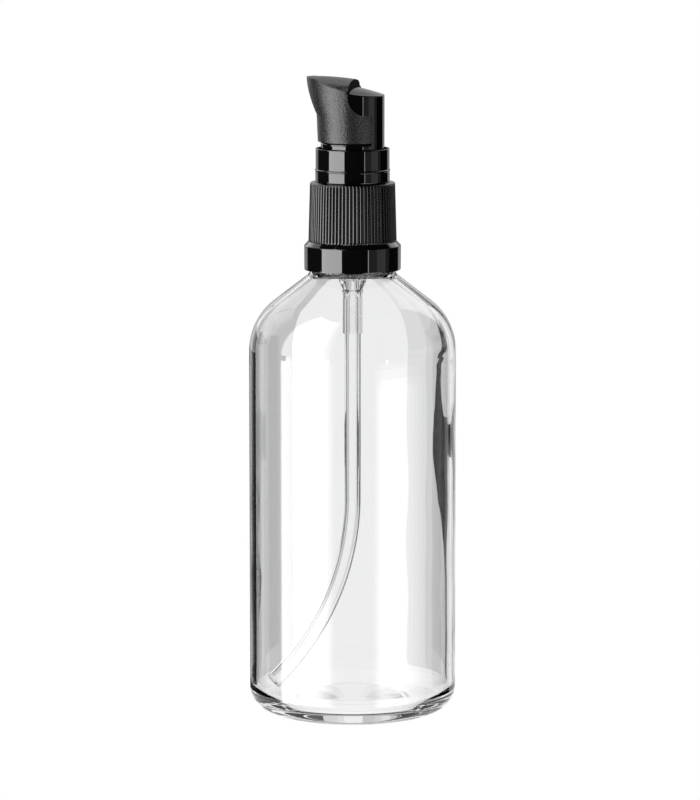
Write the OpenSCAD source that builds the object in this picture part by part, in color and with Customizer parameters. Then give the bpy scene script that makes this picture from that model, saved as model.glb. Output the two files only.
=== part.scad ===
// Pump oil bottle: a round glass bottle with a screw neck, a ribbed closure over a
// tamper band, and a finger pump with a leaning, beak-shaped head.
// Millimetres, +Z up. The origin is the centre of the base, and the beak points to -X.
// The pump is drawn up, ready to be pressed.

/* [Bottle] */
// Diameter of the glass body
body_d = 47; // [40:0.5:60]
// Height of the glass, from the table to the mouth
glass_h = 112; // [95:1:150]
// Thickness of the glass wall
glass_wall = 1.9; // [1.2:0.1:3]
// Radius of the heel, where the wall turns under
heel_r = 5.6; // [4:0.1:8]
// Radius of the inner corner between the wall and the floor
inner_heel_r = 3.4; // [2:0.1:5]
// Thickness of the floor above the standing ring
floor_t = 3.2; // [2.5:0.1:5]
// Diameter of the hollow under the base, which leaves the standing ring
punt_d = 25; // [15:0.5:30]
// Rise of that hollow at its middle
punt_h = 2.3; // [0.5:0.1:3]
// Radius of the round shoulder
shoulder_r = 14.4; // [8:0.2:17]
// Angle over which the round shoulder turns in, before it runs straight
shoulder_turn = 52.5; // [40:0.5:65]
// Radius of the hollow between the shoulder and the neck
neck_fillet = 3.2; // [2:0.1:4]
// Diameter of the neck under its ring
neck_d = 18.6; // [18:0.1:19.4]

/* [Neck finish] */
// Height of the finish, from the neck ring to the mouth
finish_h = 10.7; // [9:0.1:14]
// Diameter of the neck ring that the tamper band rests on
neck_ring_d = 20.3; // [19.5:0.1:21]
// Height of the neck ring
neck_ring_h = 0.7; // [0.4:0.1:1.2]
// Outer diameter of the screw thread
thread_d = 18; // [17:0.1:19]
// Depth of the screw thread
thread_depth = 1; // [0.6:0.1:1.2]
// Bore of the neck
neck_bore_d = 10.6; // [10.2:0.1:12]
// How far the locking bead stands out past the thread
bead_out = 0.5; // [0.3:0.1:0.6]

/* [Tamper band] */
// Height of the tamper band
band_h = 6.5; // [5.5:0.1:7]
// How far the band stands out past the foot of the closure
band_step = 0.97; // [0.5:0.01:1.5]
// Height of the bevel at the top of the band
band_bevel_h = 0.95; // [0.5:0.05:1.5]

/* [Closure] */
// Wall of the closure between its bore and the valleys of the ribs
closure_wall = 0.55; // [0.4:0.05:1]
// Number of grip ribs
rib_count = 72; // [36:1:90]
// Height of a grip rib
rib_h = 0.4; // [0.2:0.05:0.6]
// How much the closure narrows, in radius, from its foot to its top
closure_draft = 0.35; // [0:0.05:0.6]
// Thickness of the closure's top
closure_top_t = 1.4; // [1:0.1:2]
// Wall of the inner tube that presses on the pump's flange
press_tube_wall = 0.8; // [0.6:0.1:0.9]

/* [Collar] */
// Wall of the collar round the head
collar_wall = 0.3; // [0.2:0.05:0.8]
// Thickness of the collar's floor
collar_floor_t = 1; // [0.8:0.1:1.5]
// Height of the bead round the collar above its foot
collar_bead_z = 2.6; // [1.5:0.1:4]
// How far the bead stands out
collar_bead_out = 0.16; // [0.05:0.01:0.3]
// Length of the sleeve that holds the collar to the pump cap
collar_sleeve_h = 5.2; // [3:0.1:6]

/* [Pump] */
// Travel of the head
stroke = 4.5; // [3:0.1:5]
// Inner diameter of the pump barrel
barrel_bore_d = 7.2; // [6.8:0.1:7.4]
// Wall of the pump barrel
barrel_wall = 1; // [0.7:0.05:1.1]
// Thickness of the gasket on the glass mouth
gasket_t = 0.9; // [0.5:0.1:1.5]
// Diameter of the flange that hangs the pump on the mouth
flange_d = 16; // [15.4:0.1:16.4]
// Thickness of that flange
flange_t = 1.2; // [0.8:0.1:2]
// How far the barrel rises above the flange
barrel_rise = 5.75; // [5:0.05:8]
// Thickness of the plate of the pump cap
cap_t = 1; // [0.8:0.1:1.5]
// Wall of the pump cap
cap_wall = 0.8; // [0.6:0.1:1]
// Diameter of the valve section under the barrel
valve_d = 6.2; // [5.8:0.1:7]
// Diameter of the lower valve ball
inlet_ball_d = 3.2; // [2.6:0.1:3.4]
// Lift of the lower valve ball
inlet_lift = 0.8; // [0.4:0.1:1]
// Number of ribs round the valve section
valve_rib_count = 20; // [12:1:28]
// Length of the tail that grips the dip tube
tail_h = 9.6; // [6:0.1:14]
// Wall of the tail
tail_wall = 0.37; // [0.3:0.01:0.6]
// Wire of the return spring
spring_wire = 0.5; // [0.3:0.05:0.6]
// Turns of the return spring
spring_turns = 5.5; // [4.5:0.5:6]

/* [Piston and stem] */
// Length of the piston
piston_h = 4.3; // [3:0.1:5]
// Slip of the piston on its rod, which opens the rod's ports
piston_slip = 0.3; // [0.1:0.05:0.6]
// Outer diameter of the stem
stem_d = 4.4; // [4.2:0.1:4.8]
// Bore of the stem
stem_bore_d = 2.64; // [2.2:0.02:2.8]
// Diameter of the piston rod where the piston slips
rod_d = 3.8; // [3.4:0.1:4]
// Diameter of the upper valve ball
outlet_ball_d = 3; // [2.8:0.1:3.1]
// Lift of the upper valve ball
outlet_lift = 0.7; // [0.4:0.1:1]

/* [Head] */
// Diameter of the glossy core
core_d = 14.4; // [14:0.1:15]
// Wall of the core
core_wall = 1; // [0.8:0.1:1.4]
// Outer diameter of the shell's round skirt
skirt_d = 15.3; // [15:0.1:16]
// Height of the skirt, up to where the beak begins
skirt_h = 6.1; // [5.5:0.1:8]
// Gap between the collar and the skirt at the top of the stroke
head_gap = 1.55; // [1:0.05:2.5]
// Shift of the skirt's foot towards the beak
skirt_shift = 0.22; // [0:0.01:0.3]
// Forward lean of the skirt, in degrees
skirt_lean = 2.4; // [0:0.1:3]
// Rise of the beak's crown above the skirt
beak_rise = 8.42; // [7.5:0.01:10]
// How much the radius of the beak's sides grows up to the tip
beak_swell = 2.8; // [2:0.01:4]
// Place of the crown's highest point in front of the axis
crown_x = 8.2; // [6:0.1:11]
// Radius of the finger pad's crown along the beak
crown_long_r = 60; // [45:1:80]
// Radius of the finger pad's crown across the beak
crown_cross_r = 26; // [20:1:30]
// Distance of the pad's rear edge behind the axis
notch_x = 0.33; // [0.3:0.01:2.5]
// Radius at the foot of the notch behind the pad
notch_r = 4.2; // [3:0.1:4.8]
// Half angle of the slot behind the shell, which the core's key fills
slot_angle = 44; // [20:1:48]
// Bore of the outlet
outlet_d = 2; // [1.2:0.1:2.4]
// Height of the outlet above the skirt
outlet_rise = 3.5; // [3:0.1:4]

/* [Dip tube] */
// Outer diameter of the dip tube
tube_d = 3.76; // [3.4:0.02:4]
// Bore of the dip tube
tube_bore_d = 2.6; // [2:0.1:2.8]
// Height at which the straight tube begins to bend
bend_z = 49.4; // [44:0.1:60]
// Radius of the bend
bend_r = 60; // [45:1:64]
// Angle of the bend
bend_angle = 45.7; // [20:0.1:48]
// Direction in which the tube bends, about Z from +X
bend_turn = 190; // [0:1:359]

/* [Clearances] */
// Sliding clearance in radius
slide = 0.04; // [0.03:0.01:0.08]
// Clearance between pieces that rest on each other
seat = 0.05; // [0.03:0.01:0.1]
// Clearance of the closure and the band round the glass
loose = 0.15; // [0.1:0.01:0.25]

/* [Hidden] */
$fn = 96;
eps = 0.01;                 // overlap of cutters past a face

// Bottle
body_r = body_d / 2;
inner_r = body_r - glass_wall;
bore_r = neck_bore_d / 2;
neck_z = glass_h - finish_h;
neck_ring_r = neck_ring_d / 2;
neck_r = neck_d / 2;
fillet_z = neck_z + 1.05;    // the hollow runs up to here, behind the ring
neck_ring_top = neck_z + neck_ring_h;
bore_fillet = 3;            // round between the shoulder's inside and the neck bore
turn_in = 1 - cos(shoulder_turn);
arc_end_r = body_r - shoulder_r * turn_in;
fillet_end_r = neck_r + neck_fillet * turn_in;
slope_l = (arc_end_r - fillet_end_r) / sin(shoulder_turn);
shoulder_z = fillet_z - (shoulder_r + neck_fillet) * sin(shoulder_turn)
    - slope_l * cos(shoulder_turn);
inner_arc_r = shoulder_r - glass_wall;
inner_arc_end_r = body_r - shoulder_r + inner_arc_r * cos(shoulder_turn);
inner_fillet_end_r = bore_r + bore_fillet * turn_in;
inner_slope_l = (inner_arc_end_r - inner_fillet_end_r) / sin(shoulder_turn);
bore_z = shoulder_z + (inner_arc_r + bore_fillet) * sin(shoulder_turn)
    + inner_slope_l * cos(shoulder_turn);
thread_r = thread_d / 2;
thread_root_r = thread_r - thread_depth;
lock_r = thread_r + bead_out;
lock_z = neck_ring_top + 2.4;   // foot of the locking bead
lock_h = 1.5;

// Tamper band and closure
closure_bore_r = thread_r + seat;
closure_foot_r = closure_bore_r + closure_wall + rib_h;
closure_head_r = closure_foot_r - closure_draft;
band_r = closure_foot_r + band_step;
band_z = neck_z + seat;
band_top = band_z + band_h;
band_bore_r = lock_r + 0.25;
band_lip_r = lock_r - 0.45;
band_lip_z = neck_ring_top + 1.1;
band_lip_h = 0.8;
closure_z = band_top + 2 * seat;

// Pump stack, from the mouth up
gasket_z = glass_h + seat;
flange_z = gasket_z + gasket_t;
flange_top = flange_z + flange_t;
flange_r = flange_d / 2;
barrel_r = barrel_bore_d / 2;
barrel_out_r = barrel_r + barrel_wall;
barrel_top = flange_top + barrel_rise;
cap_bore_r = barrel_out_r + 1.2;
cap_r = cap_bore_r + cap_wall;
cap_plate_z = barrel_top + seat;
cap_top = cap_plate_z + cap_t;
guide_z = barrel_top - 1.65;
sleeve_bore_r = cap_r + seat;
sleeve_r = sleeve_bore_r + 0.55;
press_bore_r = sleeve_r + 2 * seat;
press_r = press_bore_r + press_tube_wall;
collar_z = cap_top + 0.4;
collar_floor_top = collar_z + collar_floor_t;
core_z = collar_floor_top + stroke + 0.4;
core_overlap = 1.65;        // core hidden in the collar at the top of the stroke
collar_top = core_z + core_overlap;
skirt_r = skirt_d / 2;
skirt_reach = skirt_r / cos(skirt_lean) + skirt_shift
    + tan(skirt_lean) * (stroke - head_gap);
collar_bore_r = skirt_reach + slide;
collar_r = collar_bore_r + collar_wall;
closure_top = collar_z;
closure_h = closure_top - closure_z;
closure_rim_h = 0.4;        // rise of the closure's sloping top

// Piston, rod, spring and lower valve, from the guide down
stem_r = stem_d / 2;
stem_bore_r = stem_bore_d / 2;
shoulder_top = guide_z - seat;
shoulder_h = 0.8;           // ring at the foot of the stem
shoulder_out_r = stem_r + 0.7;
stem_z = shoulder_top - shoulder_h;
piston_z = stem_z - 2 * seat - piston_h;
rod_flange_top = piston_z - piston_slip - seat;
rod_flange_h = 1;
rod_flange_z = rod_flange_top - rod_flange_h;
rod_r = rod_d / 2;
spring_h = stroke + spring_wire * (spring_turns + 1) + 0.65;
spring_z = rod_flange_z - spring_h;
cage_h = 1;
cage_z = spring_z - cage_h;
cage_r = barrel_r - seat;
ball_in_r = inlet_ball_d / 2;
valve_seat_r = ball_in_r * 0.75;
ball_in_rise = sqrt(ball_in_r * ball_in_r - valve_seat_r * valve_seat_r);
ball_in_z = cage_z - inlet_lift - 0.1 - ball_in_r;
valve_seat_z = ball_in_z - ball_in_rise - slide;
valve_r = valve_d / 2;
valve_ring_z = valve_seat_z - 0.5;
tail_bore_r = tube_d / 2 + 0.01;
tail_r = tail_bore_r + tail_wall;
tail_cone_h = 1.7;
tail_top = valve_ring_z - tail_cone_h;
tail_z = tail_top - tail_h;
tube_top = tail_top - 0.2;

// Head
shell_z = collar_top + head_gap;
crease_z = shell_z + skirt_h;
crease_shift = skirt_shift + tan(skirt_lean) * skirt_h;
crown_z = crease_z + beak_rise;
core_r = core_d / 2;
recess_r = core_r - 0.45;
stem_top = crease_z - 0.5;
ball_out_r = outlet_ball_d / 2;
ball_out_rise = sqrt(ball_out_r * ball_out_r - stem_bore_r * stem_bore_r);
ball_out_z = stem_top - outlet_lift - 0.06 - ball_out_r;
outlet_seat_z = ball_out_z - ball_out_rise - 0.03;
outlet_chamber_r = ball_out_r + 0.12;
socket_r = stem_r + 1.2;
outlet_r = outlet_d / 2;
outlet_z = crease_z + outlet_rise;
nose_r = outlet_r + 0.9;
core_long_r = 59;           // crown of the core's top along the beak
core_cross_r = 25;          // and across it
core_crown_x = crown_x + 3.1;
core_crown_z = crown_z - 1.1;
beak_r = skirt_r - 0.05;     // the beak stands just inside the skirt's edge
flare_power = 1.7;          // how early the beak swells
beak_rings = 8;
cap_rings = 8;
side_steps = 14;            // points along one side of the beak
back_steps = 24;            // points round the back

// ---------- helpers ----------

module ring(r_out, r_in, z, h) {
    translate([0, 0, z])
        difference() {
            cylinder(r = r_out, h = h);
            translate([0, 0, -eps]) cylinder(r = r_in, h = h + 2 * eps);
        }
}

module right_half(r, h) {
    translate([0, -h]) square([r, 3 * h]);
}

module at_z(z, r) {
    translate([0, 0, z]) circle(r = r);
}

// Points of one sweep along a list of ring centres with a frame of two directions each.
function sweep_faces(n, m) = concat(
    [[for (j = [0:m - 1]) j]],
    [for (i = [0:n - 2]) for (j = [0:m - 1])
        [i * m + (j + 1) % m, i * m + j, (i + 1) * m + j, (i + 1) * m + (j + 1) % m]],
    [[for (j = [m - 1:-1:0]) (n - 1) * m + j]]);

// ---------- bottle ----------

module glass_outside() {
    translate([0, heel_r]) square([body_r, shoulder_z - heel_r]);
    square([body_r - heel_r, heel_r + eps]);
    translate([body_r - heel_r, heel_r]) circle(r = heel_r);
    intersection() {
        translate([body_r - shoulder_r, shoulder_z]) circle(r = shoulder_r);
        right_half(body_r, glass_h);
    }
    difference() {
        polygon([
            [0, shoulder_z - eps],
            [body_r - shoulder_r, shoulder_z - eps],
            [arc_end_r, shoulder_z + shoulder_r * sin(shoulder_turn)],
            [fillet_end_r, fillet_z - neck_fillet * sin(shoulder_turn)],
            [neck_ring_r, neck_z],
            [neck_ring_r, neck_ring_top],
            [thread_root_r + 0.4, neck_ring_top],
            [thread_root_r + 0.4, lock_z],
            [lock_r, lock_z + 0.3],
            [lock_r, lock_z + lock_h - 0.5],
            [thread_root_r, lock_z + lock_h],
            [thread_root_r, glass_h - 0.5],
            [thread_root_r - 0.5, glass_h],
            [0, glass_h]]);
        intersection() {
            translate([neck_r + neck_fillet, fillet_z]) circle(r = neck_fillet);
            translate([0, shoulder_z]) square([body_r, neck_z - shoulder_z]);
        }
    }
}

module glass_inside() {
    dome_r = (punt_d * punt_d / 4 + punt_h * punt_h) / (2 * punt_h);
    difference() {
        union() {
            translate([0, floor_t]) square([inner_r - inner_heel_r, inner_heel_r + eps]);
            translate([0, floor_t + inner_heel_r])
                square([inner_r, shoulder_z - floor_t - inner_heel_r]);
            translate([inner_r - inner_heel_r, floor_t + inner_heel_r])
                circle(r = inner_heel_r);
        }
        intersection() {
            translate([0, floor_t + punt_h - dome_r]) circle(r = dome_r);
            right_half(inner_r, glass_h);
        }
    }
    intersection() {
        translate([body_r - shoulder_r, shoulder_z]) circle(r = inner_arc_r);
        right_half(body_r, glass_h);
    }
    difference() {
        polygon([
            [0, shoulder_z - eps],
            [body_r - shoulder_r, shoulder_z - eps],
            [inner_arc_end_r, shoulder_z + inner_arc_r * sin(shoulder_turn)],
            [inner_fillet_end_r, bore_z - bore_fillet * sin(shoulder_turn)],
            [bore_r, bore_z],
            [bore_r, glass_h + 1],
            [0, glass_h + 1]]);
        translate([bore_r + bore_fillet, bore_z]) circle(r = bore_fillet);
    }
}

module punt() {
    punt_r = (punt_d * punt_d / 4 + punt_h * punt_h) / (2 * punt_h);
    intersection() {
        translate([0, punt_h - punt_r]) circle(r = punt_r);
        right_half(body_r, glass_h);
    }
}

module bottle() {
    color([0.86, 0.89, 0.88, 0.35])
        rotate_extrude($fn = 180)
            difference() {
                glass_outside();
                glass_inside();
                punt();
            }
}

// ---------- neck pieces ----------

module tamper_band() {
    rest_r = neck_ring_r + loose;
    color([0.02, 0.02, 0.02])
        rotate_extrude($fn = 180)
            polygon([
                [rest_r, band_z],
                [band_r - 0.12, band_z],
                [band_r, band_z + 0.15],
                [band_r - 0.05, band_top - band_bevel_h],
                [band_bore_r + 0.3, band_top],
                [band_bore_r, band_top],
                [band_bore_r, band_lip_z + band_lip_h + 0.5],
                [band_lip_r, band_lip_z + band_lip_h],
                [band_lip_r, band_lip_z],
                [band_bore_r, band_lip_z],
                [band_bore_r, neck_ring_top],
                [rest_r, neck_ring_top]]);
}

module rib_star(r_tip) {
    pitch = 360 / rib_count;
    polygon([for (i = [0:rib_count - 1]) for (p = [[0.5, -0.34], [0, -0.2], [0, 0.2], [0.5, 0.34]])
        let(r = p[0] > 0 ? r_tip - 1.2 : r_tip, a = (i + p[1]) * pitch) [r * cos(a), r * sin(a)]]);
}

module closure() {
    valley_r = closure_foot_r - rib_h;
    side_h = closure_h - closure_rim_h;
    color([0.05, 0.05, 0.05])
        difference() {
            union() {
                translate([0, 0, closure_z])
                    cylinder(r1 = valley_r, r2 = valley_r - closure_draft, h = side_h);
                intersection() {
                    translate([0, 0, closure_z])
                        linear_extrude(side_h) rib_star(closure_foot_r + 0.2);
                    translate([0, 0, closure_z])
                        cylinder(r1 = closure_foot_r, r2 = closure_head_r, h = side_h);
                }
                translate([0, 0, closure_z + side_h - eps])
                    cylinder(r1 = closure_head_r, r2 = collar_r, h = closure_rim_h + eps);
            }
            difference() {
                translate([0, 0, closure_z - eps])
                    cylinder(r = closure_bore_r - 0.1, h = closure_h - closure_top_t + eps);
                translate([0, 0, flange_top + seat])
                    cylinder(r = press_r, h = closure_h);
            }
            translate([0, 0, closure_z - eps])
                cylinder(r = press_bore_r, h = closure_h + 1);
            translate([0, 0, closure_z - eps])
                cylinder(r = closure_bore_r, h = glass_h - closure_z + eps);
        }
}

module collar() {
    bead_z = collar_z + collar_bead_z;
    color([0.02, 0.02, 0.02])
        rotate_extrude($fn = 180)
            polygon([
                [sleeve_bore_r, collar_z - collar_sleeve_h],
                [sleeve_r - 0.2, collar_z - collar_sleeve_h],
                [sleeve_r, collar_z - collar_sleeve_h + 0.3],
                [sleeve_r, collar_z + seat],
                [collar_r + 0.07, collar_z + seat],
                [collar_r + 0.07, bead_z - 0.22],
                [collar_r + collar_bead_out, bead_z - 0.1],
                [collar_r + collar_bead_out, bead_z + 0.1],
                [collar_r, bead_z + 0.22],
                [collar_r, collar_top - 0.12],
                [collar_r - 0.1, collar_top],
                [collar_bore_r + 0.08, collar_top],
                [collar_bore_r, collar_top - 0.1],
                [collar_bore_r, collar_floor_top],
                [stem_r + 1.1, collar_floor_top],
                [stem_r + 1.1, collar_z],
                [sleeve_bore_r, collar_z]]);
}

module gasket() {
    color([0.93, 0.93, 0.9])
        ring(thread_root_r, barrel_out_r + 0.6, gasket_z, gasket_t);
}

// ---------- pump ----------

module pump_housing() {
    rib_h2 = 1.5;
    rib_z = valve_ring_z + 0.7;
    color([0.93, 0.94, 0.94])
        difference() {
            union() {
                rotate_extrude()
                    polygon([
                        [0, tail_z],
                        [tail_r - 0.1, tail_z],
                        [tail_r, tail_z + 0.3],
                        [tail_r, tail_top - 0.9],
                        [tail_r + 0.15, tail_top - 0.8],
                        [tail_r + 0.15, tail_top - 0.5],
                        [tail_r, tail_top - 0.4],
                        [tail_r, tail_top],
                        [valve_r, valve_ring_z],
                        [valve_r, rib_z],
                        [valve_r - 0.25, rib_z],
                        [valve_r - 0.25, rib_z + rib_h2],
                        [valve_r, rib_z + rib_h2],
                        [valve_r, cage_z - 0.6],
                        [barrel_out_r - 0.25, cage_z - 0.6],
                        [barrel_out_r, cage_z - 0.35],
                        [barrel_out_r, flange_z],
                        [flange_r, flange_z],
                        [flange_r, flange_top],
                        [cap_bore_r - seat, flange_top],
                        [cap_bore_r - seat, flange_top + 2.4],
                        [barrel_out_r, flange_top + 2.4],
                        [barrel_out_r, barrel_top],
                        [0, barrel_top]]);
                for (i = [0:valve_rib_count - 1])
                    rotate(i * 360 / valve_rib_count)
                        translate([valve_r - 0.5, -0.17, rib_z - eps])
                            cube([0.5, 0.34, rib_h2 + 2 * eps]);
            }
            translate([0, 0, cage_z]) cylinder(r = barrel_r, h = barrel_top - cage_z + 1);
            translate([0, 0, valve_seat_z])
                cylinder(r = ball_in_r + 0.35, h = cage_z - valve_seat_z + eps);
            translate([0, 0, tail_z]) cylinder(r = valve_seat_r, h = valve_seat_z - tail_z + 1);
            translate([0, 0, tail_z - eps])
                cylinder(r = tail_bore_r, h = tube_top - tail_z + eps);
        }
}

module pump_cap() {
    color([0.93, 0.94, 0.94])
        difference() {
            union() {
                ring(cap_r, cap_bore_r, flange_top, cap_plate_z - flange_top + eps);
                translate([0, 0, cap_plate_z]) cylinder(r = cap_r, h = cap_t);
                translate([0, 0, guide_z]) cylinder(r = barrel_r - seat, h = cap_plate_z - guide_z + eps);
            }
            translate([0, 0, guide_z - eps])
                cylinder(r = stem_r + 2 * slide, h = cap_top - guide_z + 2 * eps);
        }
}

module ball_cage() {
    bar = 0.8;
    color([0.93, 0.94, 0.94]) {
        intersection() {
            union() {
                ring(cage_r, cage_r - 1.1, cage_z, cage_h);
                for (a = [0, 90])
                    rotate(a) translate([-cage_r, -bar / 2, cage_z]) cube([2 * cage_r, bar, cage_h]);
            }
            translate([0, 0, cage_z]) cylinder(r = cage_r, h = cage_h);
        }
    }
}

module inlet_ball() {
    color([0.8, 0.82, 0.84]) translate([0, 0, ball_in_z]) sphere(r = ball_in_r);
}

// Height of the wire's centre after a share t of the turns: the end coils lie flat.
function wire_z(t) = let(flat = 0.75 / spring_turns, mid = max(0, min(1, (t - flat) / (1 - 2 * flat))),
    low = min(1, t / flat), high = max(0, (t - 1 + flat) / flat))
    spring_wire / 2 + 0.7 * spring_wire * (low + high)
    + (spring_h - spring_wire - 1.4 * spring_wire) * mid;

module return_spring() {
    steps = 20 * spring_turns;
    sides = 8;
    coil_r = (stem_bore_r + barrel_r) / 2 + 0.1;
    wire_r = spring_wire / 2;
    pts = [for (i = [0:steps]) for (j = [0:sides - 1])
        let(t = i / steps, a = 360 * spring_turns * t, b = 360 * j / sides,
            r = coil_r + wire_r * cos(b))
        [r * cos(a), r * sin(a), wire_z(t) + wire_r * sin(b)]];
    color([0.75, 0.76, 0.78])
        translate([0, 0, spring_z])
            polyhedron(points = pts, faces = sweep_faces(steps + 1, sides), convexity = 6);
}

module piston() {
    lip = 0.9;
    color([0.9, 0.9, 0.88])
        rotate_extrude()
            translate([0, piston_z])
                polygon([
                    [rod_r + slide, 0],
                    [rod_r + 0.6, 0],
                    [barrel_r - 0.7, 1.3],
                    [barrel_r - slide - 0.25, 0],
                    [barrel_r - slide, 0],
                    [barrel_r - slide, lip],
                    [barrel_r - slide - 0.3, lip + 0.4],
                    [barrel_r - slide - 0.3, piston_h - lip - 0.4],
                    [barrel_r - slide, piston_h - lip],
                    [barrel_r - slide, piston_h],
                    [barrel_r - slide - 0.25, piston_h],
                    [barrel_r - 0.7, piston_h - 1.3],
                    [rod_r + 0.6, piston_h],
                    [rod_r + slide, piston_h]]);
}

module piston_rod() {
    spigot_h = 4;
    port_z = rod_flange_top + 0.75;
    color([0.85, 0.86, 0.86])
        difference() {
            union() {
                translate([0, 0, rod_flange_z - 1.4]) cylinder(r1 = 1.1, r2 = 1.5, h = 1.4 + eps);
                translate([0, 0, rod_flange_z]) cylinder(r = barrel_r - 0.7, h = rod_flange_h);
                translate([0, 0, rod_flange_top - eps]) cylinder(r = rod_r, h = stem_z - rod_flange_top + eps);
                translate([0, 0, stem_z - eps]) cylinder(r = stem_bore_r - 0.02, h = spigot_h + eps);
            }
            translate([0, 0, rod_flange_top + 0.3]) cylinder(r = 0.75, h = stem_z + spigot_h);
            for (a = [0, 90])
                rotate([0, 90, a]) translate([-port_z, 0, -rod_r - 1]) cylinder(r = 0.4, h = 2 * rod_r + 2);
        }
}

module stem() {
    color([0.93, 0.94, 0.94])
        difference() {
            union() {
                translate([0, 0, stem_z]) cylinder(r = shoulder_out_r, h = shoulder_h);
                translate([0, 0, stem_z]) cylinder(r = stem_r, h = stem_top - stem_z);
            }
            translate([0, 0, stem_z - eps]) cylinder(r = stem_bore_r, h = stem_top - stem_z + 1);
            translate([0, 0, outlet_seat_z]) cylinder(r = outlet_chamber_r, h = stem_top - outlet_seat_z + 1);
        }
}

module outlet_ball() {
    color([0.8, 0.82, 0.84]) translate([0, 0, ball_out_z]) sphere(r = ball_out_r);
}

// ---------- head ----------

// Solid under a crown that is round along the beak and across it.
module crown(x, z, long_r, cross_r) {
    translate([-x, 0, z - long_r])
        rotate([90, 0, 0])
            rotate_extrude($fn = 180)
                translate([long_r - cross_r, 0]) circle(r = cross_r);
}

module outlet_bore(r, x0, x1) {
    translate([x1, 0, outlet_z]) rotate([0, -90, 0]) cylinder(r = r, h = x1 - x0);
}

// Wedge about +X, from the axis outwards, grown on each side by a gap.
module wedge(gap, h) {
    reach = 2 * core_d;
    linear_extrude(h)
        polygon([
            [-gap / sin(slot_angle), 0],
            [reach, -reach * tan(slot_angle) - gap / cos(slot_angle)],
            [reach, reach * tan(slot_angle) + gap / cos(slot_angle)]]);
}

module actuator_core() {
    front_x = crease_shift + sqrt(beak_r * beak_r + 2 * beak_r * swell((outlet_rise - nose_r) / beak_rise));
    nose_x = 0.1 - front_x;
    color([0.02, 0.02, 0.02])
        difference() {
            union() {
                intersection() {
                    difference() {
                        translate([0, 0, core_z]) cylinder(r = core_r, h = crown_z - core_z);
                        difference() {
                            translate([0, 0, shell_z]) cylinder(r = 2 * core_r, h = skirt_h + seat);
                            translate([0, 0, shell_z - 1]) cylinder(r = recess_r, h = skirt_h + 2);
                            translate([0, 0, shell_z - 1]) wedge(0, skirt_h + 2);
                        }
                    }
                    crown(core_crown_x, core_crown_z, core_long_r, core_cross_r);
                }
                outlet_bore(nose_r, nose_x, 0);
            }
            difference() {
                translate([0, 0, core_z - eps])
                    cylinder(r = recess_r - core_wall, h = crease_z - core_z + 1);
                translate([0, 0, core_z + 0.8]) cylinder(r = socket_r, h = crease_z);
            }
            translate([0, 0, core_z]) cylinder(r = stem_r, h = stem_top - core_z);
            translate([0, 0, core_z]) cylinder(r = outlet_r, h = outlet_z - core_z);
            outlet_bore(outlet_r, nose_x - 1, 0);
            translate([0, 0, outlet_z]) sphere(r = outlet_r);
        }
}

// Growth of the beak's side radius at a share t of its rise.
function swell(t) = beak_swell * (1 - pow(1 - min(1, max(0, t)), flare_power));

// Outline of the beak at a share t of its rise: two arcs that meet in front, and a half
// circle behind. Point 0 is the front edge.
function beak_point(i, t) = let(
        k = swell(t), rho = beak_r + k, a0 = 180 + asin(k / rho), n = side_steps + back_steps,
        a = i <= side_steps ? a0 + (270 - a0) * i / side_steps
            : i <= n ? 270 + 180 * (i - side_steps) / back_steps : 0,
        q = i <= side_steps ? [rho * cos(a), k + rho * sin(a)]
            : i <= n ? [beak_r * cos(a), beak_r * sin(a)]
            : let(m = beak_point(2 * side_steps + back_steps - i, t)) [m[0] + crease_shift, -m[1]])
    [q[0] - crease_shift, q[1]];

function crown_height(p) = crown_z - crown_long_r
    + sqrt(pow(crown_long_r - crown_cross_r + sqrt(crown_cross_r * crown_cross_r - p[1] * p[1]), 2)
        - pow(p[0] + crown_x, 2));

// Share of the rise at which the beak's side i meets the crown, closed in on in a few steps.
function rim_share(i, t = 1, n = 4) = n == 0 ? t
    : rim_share(i, (crown_height(beak_point(i, t)) - crease_z) / beak_rise, n - 1);

module beak() {
    count = 2 * side_steps + back_steps;
    rim = [for (i = [0:count - 1]) rim_share(i)];
    foot = [for (i = [0:count - 1]) concat(beak_point(i, 0), crease_z - 0.3)];
    sides = [for (k = [0:beak_rings]) for (i = [0:count - 1])
        let(t = rim[i] * k / beak_rings) concat(beak_point(i, t), crease_z + t * beak_rise)];
    pad = [for (k = [1:cap_rings - 1]) for (i = [0:count - 1])
        let(s = 1 - k / cap_rings, p = beak_point(i, rim[i]), q = [s * p[0] - (1 - s), s * p[1]])
        concat(q, crown_height(q))];
    middle = [[-1, 0, crown_height([-1, 0])]];
    rings = beak_rings + cap_rings + 1;
    last = rings * count;
    faces = concat(
        [[for (i = [0:count - 1]) i]],
        [for (k = [0:rings - 2]) for (i = [0:count - 1]) let(j = (i + 1) % count)
            each [[k * count + j, k * count + i, (k + 1) * count + j],
                [(k + 1) * count + j, k * count + i, (k + 1) * count + i]]],
        [for (i = [0:count - 1]) [last - count + (i + 1) % count, last - count + i, last]]);
    polyhedron(points = concat(foot, sides, pad, middle), faces = faces, convexity = 4);
}

module notch() {
    rotate([90, 0, 0])
        linear_extrude(2 * core_d, center = true) {
            translate([notch_x, crease_z + notch_r]) square([2 * core_d, beak_rise]);
            translate([notch_x + notch_r, crease_z]) square([2 * core_d, beak_rise]);
            translate([notch_x + notch_r, crease_z + notch_r]) circle(r = notch_r);
        }
}

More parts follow.
